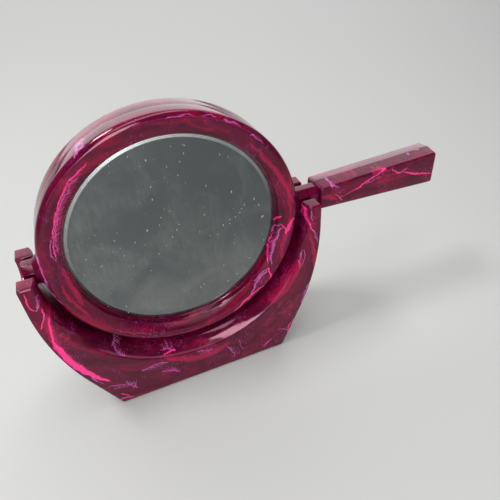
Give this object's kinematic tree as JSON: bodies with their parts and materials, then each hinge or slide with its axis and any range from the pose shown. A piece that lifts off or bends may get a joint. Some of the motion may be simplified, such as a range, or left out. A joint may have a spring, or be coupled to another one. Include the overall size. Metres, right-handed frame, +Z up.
{
  "type": "two-sided countertop mirror",
  "caption": "Round two-sided hand mirror with an octagonal neck and a flat handle, resting in the fork slots of a cradle stand in which it turns.",
  "frame": {"origin": "on the surface the stand rests on, under the middle of the stand", "axes": "+X along the tilt axis towards the handle, +Y to the back of the stand, +Z up"},
  "size_m": [0.2983, 0.0588, 0.208],
  "materials": {
    "marbled_plastic": "polished marbled burgundy plastic with pink and violet veins",
    "silvered_glass": "silvered mirror glass, polished, lightly dusty",
    "felt": "pressed black felt",
    "backing_card": "grey-brown board",
    "spacer_foam": "closed-cell foam"
  },
  "bodies": {
    "stand": {"stand_cradle": "marbled_plastic", "base_felt": "felt"},
    "mirror": {"frame_front_half": "marbled_plastic", "frame_rear_half": "marbled_plastic", "front_seating_ring": "marbled_plastic", "rear_seating_ring": "marbled_plastic", "plain_mirror_glass": "silvered_glass", "magnifying_mirror_glass": "silvered_glass", "plain_glass_backing": "backing_card", "glass_spacer_ring": "spacer_foam"}
  },
  "joints": [
    {"name": "mirror_tilt", "type": "hinge", "parent": "stand", "child": "mirror", "pos_m": [0, 0, 0.1235], "axis": [1, 0, 0], "continuous": true}
  ]
}
